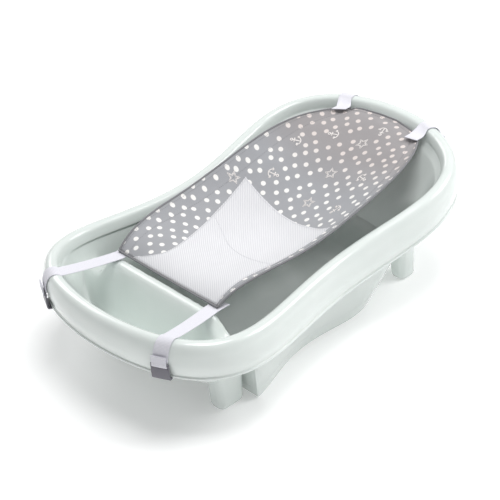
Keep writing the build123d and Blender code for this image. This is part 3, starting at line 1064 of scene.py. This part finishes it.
    def prints(self, finish: PlainCover) -> bpy.types.Object:
        """Plain anchors and star outlines in ink, lying on the cloth."""
        points, faces = [], []
        strokes = []
        for x, y, turn in self.anchors:
            strokes += [(x, y, turn, s, 0.95) for s in self._anchor_strokes()]
        for x, y, turn in self.stars:
            strokes += [(x, y, turn, s, 0.5) for s in self._star_strokes()]
        for x, y, turn, stroke, half in strokes:
            angle = math.radians(turn)
            spin = Matrix.Rotation(angle, 2) * self.print_scale
            flat = [spin @ Vector(p) + Vector((x, y)) for p in stroke]
            self._stroke(flat, half, points, faces)
        piece = mesh_from("printed_marks", points, faces)
        face_up(piece)
        thicken(piece, 0.15)
        dress(piece, finish.make())
        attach(piece, "tub")
        return piece

    def _stroke(self, flat: list[Vector], half: float, points: list, faces: list) -> None:
        """Adds one inked stroke, which follows the cloth."""
        start = len(points)
        for k, p in enumerate(flat):
            run = flat[min(k + 1, len(flat) - 1)] - flat[max(k - 1, 0)]
            side = Vector((-run.y, run.x)).normalized() * half
            for q in (p + side, p - side):
                points.append(self.on_cloth(q.x, q.y, 0.3))
        for k in range(len(flat) - 1):
            a = start + 2 * k
            faces.append((a, a + 1, a + 3, a + 2))

    @staticmethod
    def _anchor_strokes() -> list[list[tuple[float, float]]]:
        """A plain anchor: ring, shank, stock and a bowed arm with two flukes."""
        ring = [(1.6 * math.cos(t * math.pi / 6), 6.2 + 1.6 * math.sin(t * math.pi / 6))
                for t in range(13)]
        shank = [(0, 4.6 - 10.6 * t / 8) for t in range(9)]
        stock = [(-3.4 + 6.8 * t / 4, 2.4) for t in range(5)]
        arm = [(6.0 * math.cos(math.radians(a)), -0.2 + 6.2 * math.sin(math.radians(a)))
               for a in range(190, 351, 10)]
        flukes = [[(s * 6.0, -1.0), (s * 7.2, -3.4)] for s in (-1, 1)]
        flukes += [[(s * 6.0, -1.0), (s * 3.6, -2.6)] for s in (-1, 1)]
        return [ring, shank, stock, arm, *flukes]

    @staticmethod
    def _star_strokes() -> list[list[tuple[float, float]]]:
        """A plain five-pointed star in outline, with a smaller one inside it."""
        made = []
        for outer, inner in ((9.0, 4.2), (6.4, 3.0)):
            corners = []
            for k in range(11):
                radius = outer if k % 2 == 0 else inner
                angle = math.pi / 2 + k * math.pi / 5
                corners.append(Vector((radius * math.cos(angle), radius * math.sin(angle))))
            between = [corners[k // 3].lerp(corners[k // 3 + 1], (k % 3) / 3) for k in range(30)]
            made.append([tuple(p) for p in (*between, corners[10])])
        return made

    def build(self, sweep: bpy.types.NodeTree,
              stitch: bpy.types.NodeTree) -> list[bpy.types.Object]:
        """Builds and dresses the sling."""
        marks = tuple((x, y) for x, y, _ in self.anchors + self.stars)
        tape = PlainCover("bias_tape_piping", "#828285", 0.85, 1.2, 0.15, 0.1)
        grey = PlainCover("grey_sewing_thread", "#8E8E92", 0.7, 0.5, 0.05)
        # The white thread is drawn light grey: partly its own tone, partly painted shade standing
        # for the grooves of the seams, the tuck above all.
        white = PlainCover("white_sewing_thread", "#D6D6DA", 0.7, 0.5, 0.05)
        ink = PlainCover("screen_print_ink", "#E9E4E1", 0.8, 1.0, 0.02)
        return [self.printed_sheet(PrintedTricot(bare=marks)), self.net_seat(RibbedNet()),
                *self.pipings(sweep, tape), *self.seams(stitch, grey, white), self.prints(ink)]


# ---------------------------------------------------------------- straps and hooks


@dataclass
class RimTie:
    """One strap from a sling corner over the rim, and the hook that holds it."""

    end: End
    side: Side
    tub: TubShell
    sling: Sling
    width: float = 25.0
    thick: float = 1.4
    gap: float = 1.5
    foot_angle: float = 22.0
    head_angle: float = 165.0
    foot_inset: float = 6.0
    head_inset: float = 2.0
    lean: float = 9.0           # the sling hangs a little askew, so the straps cross the rim aslant
    strap_low: float = -25.0
    hook_top: float = -25.5
    hook_width: float = 30.0
    hook_thick: float = 2.6
    hook_out: float = 31.2
    slot_height: float = 4.2
    slot_margin: float = 3.2
    foot_lift: float = -3.2
    head_lift: float = 4.2
    tail_length: float = 16.0
    slack: float = 1.6
    fold_top: float = -10.0

    @property
    def tag(self) -> str:
        """The name of this corner."""
        return f"{self.end.name.lower()}_{{}}_{self.side.name.lower()}"

    @property
    def u(self) -> float:
        """Angle round the lip where the strap crosses it, on the left side."""
        return math.radians(self.foot_angle if self.end is End.FOOT else self.head_angle)

    def place(self, out: float, up: float, shift: float = 0.0) -> Vector:
        """A place on the rim's section here, shifted along the rim."""
        p = self.tub.rim_place(self.u, out, up)
        n = self.tub.outward(self.u)
        p += Vector((-n.y, n.x, 0)) * shift
        return Vector((p.x, p.y * self.side.value, p.z))

    def along(self) -> Vector:
        """Direction along the rim."""
        return (self.place(0, 0, 1) - self.place(0, 0, 0)).normalized()

    def over_rim(self, gap: float, low: float) -> list[Vector]:
        """Section places just off the rim, from its crest down its outside."""
        line = through(self.tub.profile, 60)
        offset = []
        for k in range(1, 59):
            run = line[k + 1] - line[k - 1]
            out = Vector((-run.y, run.x)).normalized()
            offset.append(line[k] + out * gap)
        return [p for p in offset if p.x > 2.5 and p.y > low]

    def ribbon(self, name: str, line: list[Vector], across: list[Vector], width: float,
               thick: float) -> bpy.types.Object:
        """A flat tape along a line.

        Args:
            name: the piece's name.
            line: its middle.
            across: the direction of its width at each point.
            width: its width.
            thick: its thickness.

        Returns:
            The tape, with a UV map across and along it.
        """
        columns, points, places, run = 7, [], [], 0.0
        for k, p in enumerate(line):
            run += (p - line[k - 1]).length if k else 0.0
            for c in range(columns):
                t = -width / 2 + width * c / (columns - 1)
                points.append(p + across[k] * t)
                places.append((t, run))
        piece = mesh_from(name, points, grid_faces(len(line), columns))
        sheet_uv(piece, places)
        thicken(piece, thick, 0.0)
        round_edges(piece, "soft_edge", 0.4, 2)
        return piece

    def strap(self, material: bpy.types.Material) -> bpy.types.Object:
        """The strap from under or over the sling's corner to just above the hook."""
        direction = self.end.value
        if self.end is End.FOOT:
            end_x, inset, z = self.sling.foot_x, self.foot_inset, self.foot_lift
            reach = 7
        else:
            end_x, inset, z = self.sling.head_x, self.head_inset, self.head_lift
            z += self.sling.wing_rise + self.sling.head_rise
            reach = -3
        y = self.side.value * (self.sling.half(end_x) - inset)
        z += self.sling.corner_height
        section = self.over_rim(self.gap, self.strap_low)
        crest = [self.place(p.x, p.y, self.side.value * self.lean * (1 - k / (len(section) - 1)))
                 for k, p in enumerate(section)]
        tail = Vector((end_x - direction * self.tail_length, y, z))
        turn = Vector((end_x + direction * reach, y, z))
        run = crest[0] - turn
        free, steps = [], 14
        for k in range(1, steps):
            t = k / steps
            p = turn.lerp(crest[0], t)
            p.z -= self.slack * math.sin(math.pi * t)
            free.append(p)
        line = [tail, tail.lerp(turn, 0.5), turn, *free, *crest]
        start = Vector((-run.y, run.x, 0)).normalized()
        rim = self.along()
        if start.dot(rim) < 0:
            rim = -rim
        across = []
        for k in range(len(line)):
            t = smoothstep(2, 3 + len(free), k)
            across.append(start.lerp(rim, t).normalized())
        piece = self.ribbon(self.tag.format("strap") + "_webbing", line, across, self.width,
                            self.thick)
        dress(piece, material)
        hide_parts(self.tag.format("strap"))
        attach(piece, "tub")
        return piece

    def fold(self, material: bpy.types.Material, body: str) -> bpy.types.Object:
        """The strap's end, through the hook's slot and sewn back up over the strap."""
        slot = self.hook_top - self.slot_margin - self.slot_height / 2
        outer = self.hook_out + self.hook_thick / 2 + self.thick / 2 + 0.5
        line = [(28.6, slot), (30.4, slot + 0.1), (32.6, slot + 0.2), (outer - 0.4, slot + 0.9),
                (outer, slot + 2.4), (outer, slot + 7.0), (outer - 0.1, -17.0),
                (outer - 0.8, self.fold_top)]
        middle = [self.place(p.x, p.y) for p in through(line, 26)]
        piece = self.ribbon(self.tag.format("strap_fold") + "_webbing", middle,
                            [self.along()] * len(middle), self.width - 0.6, self.thick)
        dress(piece, material)
        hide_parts(self.tag.format("strap_fold"))
        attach(piece, body)
        return piece

    def hook(self, material: bpy.types.Material, body: str) -> bpy.types.Object:
        """The moulded hook: a slotted plate that turns up behind the rim's lower edge."""
        low = -self.tub.skirt - 3.0
        slot_top = self.hook_top - self.slot_margin
        path = [(self.hook_out, self.hook_top), (self.hook_out, slot_top),
                (self.hook_out, slot_top - self.slot_height), (self.hook_out, low + 3.5),
                (self.hook_out - 0.8, low + 1.0), (self.hook_out - 3.0, low),
                (self.hook_out - 8.5, low), (self.hook_out - 10.8, low + 1.0),
                (self.hook_out - 11.6, low + 3.2), (self.hook_out - 11.6, low + 10.5)]
        half = self.hook_width / 2
        columns = [-half, -half + 2.2, half - 2.2, half]
        points = [self.place(n, z, t) for n, z in path for t in columns]
        faces = [face for k, face in enumerate(grid_faces(len(path), 4)) if k != 4]
        piece = mesh_from(self.tag.format("hook") + "_moulding", points, faces)
        thicken(piece, self.hook_thick, 0.0)
        round_edges(piece, "rounding", 0.7, 3)
        dress(piece, material)
        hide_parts(self.tag.format("hook"))
        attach(piece, body)
        return piece

    def box_stitch(self, tree: bpy.types.NodeTree, material: bpy.types.Material,
                   body: str) -> bpy.types.Object:
        """A box of stitches through the folded end."""
        outer = self.hook_out + self.hook_thick / 2 + self.thick + 0.75
        top, low, half = self.fold_top - 2.2, -24.5, self.width / 2 - 3.0
        corners = [(top, -half), (top, half), (low, half), (low, -half)]
        line = []
        for k in range(4):
            a, b = Vector(corners[k]), Vector(corners[(k + 1) % 4])
            line += [self.place(outer, *a.lerp(b, t / 8)) for t in range(8)]
        piece = run_tree(centre_line(self.tag.format("strap_stitches"), line, True), tree,
                         {"Spacing": 0.0032, "Length": 0.0024, "Thread": 0.0007,
                          "Material": material})
        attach(piece, body)
        return piece

    def build(self, web: bpy.types.Material, plastic: bpy.types.Material,
              thread: bpy.types.Material, stitch: bpy.types.NodeTree) -> list[bpy.types.Object]:
        """Builds the strap, its folded end, its stitches and the hook."""
        body = self.tag.format("hook") + "_set"
        return [self.strap(web), self.fold(web, body), self.hook(plastic, body),
                self.box_stitch(stitch, thread, body)]


# ---------------------------------------------------------------- studio


@dataclass(frozen=True)
class Studio:
    """A pale sweep, soft lights and the camera."""

    azimuth: float = -40.678
    elevation: float = 33.382
    roll: float = 4.813
    distance: float = 2.2816
    target: tuple[float, float, float] = (-0.0363, -0.0202, 0.1379)
    lens: float = 101.1
    floor_colour: str = "#FBFBFB"
    floor_half: float = 9000.0
    floor_glow: float = 0.20
    surround: float = 0.34
    lamp_size: float = 1.2

    def camera(self) -> bpy.types.Object:
        """Sets the camera."""
        a, e, r = (math.radians(v) for v in (self.azimuth, self.elevation, self.roll))
        back = Vector((math.sin(a) * math.cos(e), -math.cos(a) * math.cos(e), math.sin(e)))
        right = Vector((math.cos(a), math.sin(a), 0))
        up = back.cross(right)
        right, up = (right * math.cos(r) - up * math.sin(r),
                     right * math.sin(r) + up * math.cos(r))
        data = bpy.data.cameras.new("camera")
        data.lens = self.lens
        data.sensor_width = 36.0
        data.clip_end = 50.0
        camera = bpy.data.objects.new("camera", data)
        turn = Matrix((right, up, back)).transposed().to_4x4()
        camera.matrix_world = Matrix.Translation(Vector(self.target) + back * self.distance) @ turn
        bpy.context.scene.collection.objects.link(camera)
        bpy.context.scene.camera = camera
        return camera

    def lamp(self, name: str, place: tuple, power: float) -> bpy.types.Object:
        """A square soft light that looks at the tub."""
        data = bpy.data.lights.new(name, "AREA")
        data.shape = "SQUARE"
        data.size = self.lamp_size
        data.energy = power
        lamp = bpy.data.objects.new(name, data)
        lamp.location = place
        aim = Vector(self.target) - Vector(place)
        lamp.rotation_euler = aim.to_track_quat("-Z", "Y").to_euler()
        bpy.context.scene.collection.objects.link(lamp)
        return lamp

    def build(self) -> None:
        """Sets the sweep, the lights, the surround and the camera."""
        corners = [(a * self.floor_half, b * self.floor_half, -0.5)
                   for a, b in ((-1, -1), (1, -1), (1, 1), (-1, 1))]
        floor = mesh_from("floor", corners, [(0, 1, 2, 3)])
        material, tree, shader = new_material("matte_paper_sweep")
        place = add_node(tree, "ShaderNodeTexCoord").outputs["Object"]
        grain = add_node(tree, "ShaderNodeTexNoise", {"Vector": place}, {"Scale": per_metre(3.0)})
        raise_by(tree, shader, grain.outputs["Fac"], 0.05, 0.3)
        shader.inputs["Base Color"].default_value = linear(self.floor_colour)
        shader.inputs["Roughness"].default_value = 0.95
        shader.inputs["Specular IOR Level"].default_value = 0.1
        shader.inputs["Emission Color"].default_value = linear("#FFFFFF")
        shader.inputs["Emission Strength"].default_value = self.floor_glow
        floor.data.materials.append(material)
        self.lamp("key_softbox", (1.7, -1.3, 2.0), 32)
        self.lamp("top_softbox", (0.1, -0.3, 2.6), 34)
        self.lamp("back_softbox", (0.2, 2.0, 1.6), 16)
        world = bpy.data.worlds.new("studio")
        world.use_nodes = True
        background = world.node_tree.nodes["Background"]
        background.inputs["Color"].default_value = linear("#FDFEFF")
        background.inputs["Strength"].default_value = self.surround
        bpy.context.scene.world = world
        bpy.context.scene.view_settings.view_transform = "Standard"
        self.camera()


def report(pieces: Iterable[bpy.types.Object]) -> None:
    """Logs each piece and its number of faces."""
    for piece in pieces:
        log.info("%s: %d faces", piece.name, len(piece.data.polygons))


def main() -> None:
    """Builds the tub, its plug, the sling and the four ties, then the studio."""
    sweep, stitch = sweep_tree(), stitch_tree()
    tub, sling = TubShell(), Sling()
    report([tub.build(MouldedPolypropylene()), DrainPlug().build()])
    report(sling.build(sweep, stitch))
    web = Webbing().make()
    plastic = PlainCover("acetal_hook", "#6F6D76", 0.35, 0.9, 0.03).make()
    thread = PlainCover("white_bar_thread", "#F2F2F4", 0.7, 0.5, 0.05).make()
    for end in End:
        for side in Side:
            report(RimTie(end, side, tub, sling).build(web, plastic, thread, stitch))
    Studio().build()


if __name__ == "__main__":
    main()
